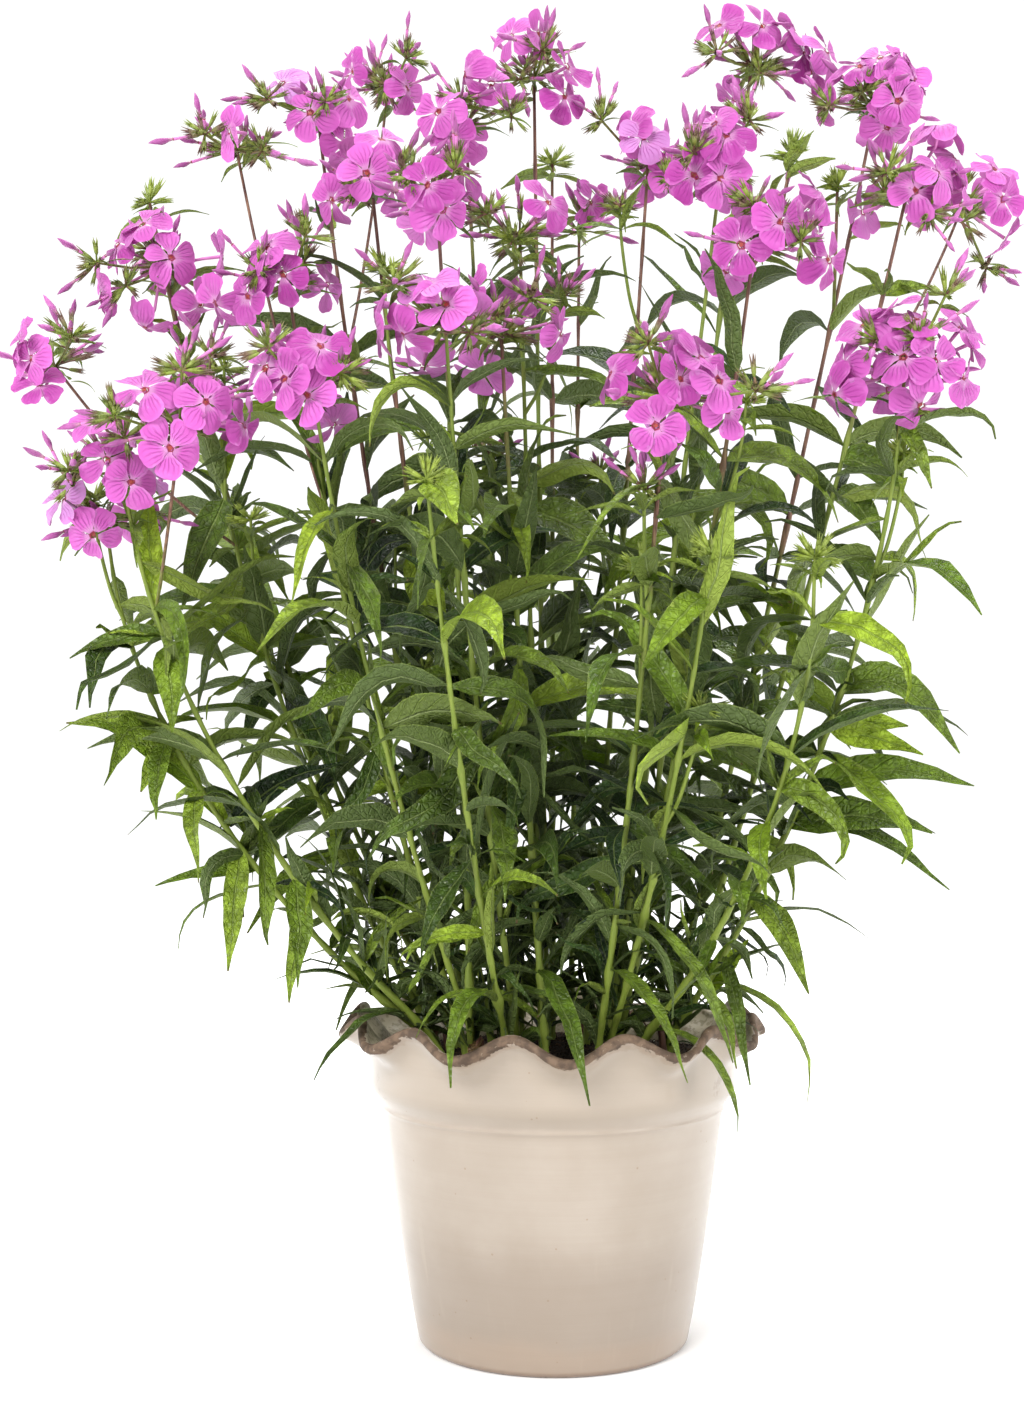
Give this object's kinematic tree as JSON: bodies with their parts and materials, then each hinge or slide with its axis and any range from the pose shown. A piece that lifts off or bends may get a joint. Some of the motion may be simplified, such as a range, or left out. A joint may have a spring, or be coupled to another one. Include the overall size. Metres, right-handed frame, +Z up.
{
  "type": "potted phlox",
  "caption": "Tall bushy phlox with pink flower heads on leafy upright shoots, in a cream glazed pot with a wavy rim.",
  "frame": {"origin": "middle of the pot's flat base", "axes": "+Z up along the pot's axis, -Y towards the side with the most low flower heads"},
  "size_m": [0.4661, 0.3377, 0.6141],
  "materials": {
    "glazed_pot": "glossy cream glaze with a worn brown rim",
    "potting_mix": "damp and crumbly",
    "foliage": "satin leaf",
    "petals": "soft petal"
  },
  "bodies": {
    "root": {"flower_head_01": "petals", "flower_head_01b": "petals", "flower_head_02": "petals", "flower_head_02b": "petals", "flower_head_03": "petals", "flower_head_04": "petals", "flower_head_05": "petals", "flower_head_06": "petals", "flower_head_06b": "petals", "flower_head_08": "petals", "flower_head_08b": "petals", "flower_head_10": "petals", "flower_head_11": "petals", "flower_head_12": "petals", "flower_head_13": "petals", "flower_head_14": "petals", "flower_head_15": "petals", "flower_head_17": "petals", "flower_head_18": "petals", "flower_head_19": "petals", "flower_head_20": "petals", "flower_head_21": "petals", "flower_head_22": "petals", "flower_head_23": "petals", "flower_head_24": "petals", "flower_head_25": "petals", "flower_head_25b": "petals", "flower_head_26": "petals", "pot": "glazed_pot", "soil": "potting_mix", "stem_01": "foliage", "stem_02": "foliage", "stem_03": "foliage", "stem_04": "foliage", "stem_05": "foliage", "stem_06": "foliage", "stem_07": "foliage", "stem_08": "foliage", "stem_09": "foliage", "stem_10": "foliage", "stem_11": "foliage", "stem_12": "foliage", "stem_13": "foliage", "stem_14": "foliage", "stem_15": "foliage", "stem_16": "foliage", "stem_17": "foliage", "stem_18": "foliage", "stem_19": "foliage", "stem_20": "foliage", "stem_21": "foliage", "stem_22": "foliage", "stem_23": "foliage", "stem_24": "foliage", "stem_25": "foliage", "stem_26": "foliage", "stem_27": "foliage", "stem_28": "foliage", "stem_29": "foliage", "stem_30": "foliage"}
  },
  "joints": []
}
